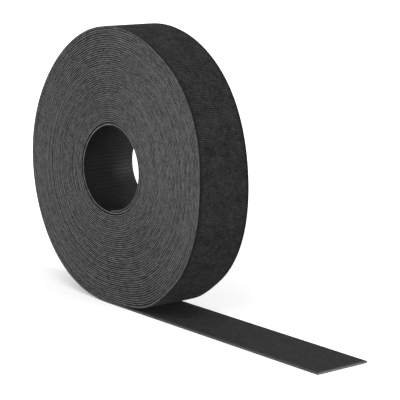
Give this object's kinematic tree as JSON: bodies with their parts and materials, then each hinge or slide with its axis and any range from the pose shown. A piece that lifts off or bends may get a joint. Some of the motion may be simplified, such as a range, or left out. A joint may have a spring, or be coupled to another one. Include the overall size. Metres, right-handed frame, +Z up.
{
  "type": "hook and loop tape roll",
  "caption": "Coreless roll of double-sided hook and loop tape on edge, its tail lying flat; the roll turns about its open bore as the tape is drawn off.",
  "frame": {"origin": "on the floor below the roll's axis, half way across the tape", "axes": "+X along the tail, away from the roll; +Y across the tape along the roll's axis; +Z up"},
  "size_m": [0.1785, 0.025, 0.1129],
  "materials": {
    "loop_fabric": "charcoal brushed nylon loop pile with fine cross ribs, matte",
    "hook_plastic": "charcoal moulded hooks in close rows, dull"
  },
  "bodies": {
    "touchdown": {"touchdown_loop_web": "loop_fabric", "touchdown_hook_web": "hook_plastic"},
    "roll": {"wound_loop_web": "loop_fabric", "wound_hook_web": "hook_plastic"},
    "tail": {"tail_loop_web": "loop_fabric", "tail_hook_web": "hook_plastic"}
  },
  "joints": [
    {"name": "roll_turn", "type": "hinge", "parent": "touchdown", "child": "roll", "pos_m": [0, 0, 0.05682], "axis": [0, -1, 0], "range_deg": [0, 360], "deforming": ["touchdown_loop_web", "touchdown_hook_web"]},
    {"name": "tail_draw", "type": "slide", "parent": "touchdown", "child": "tail", "axis": [1, 0, 0], "range_m": [0, 0.3563]}
  ],
  "couplings": [
    {"joint": "tail_draw", "follows": "roll_turn", "m_per_rad": 0.0567}
  ]
}
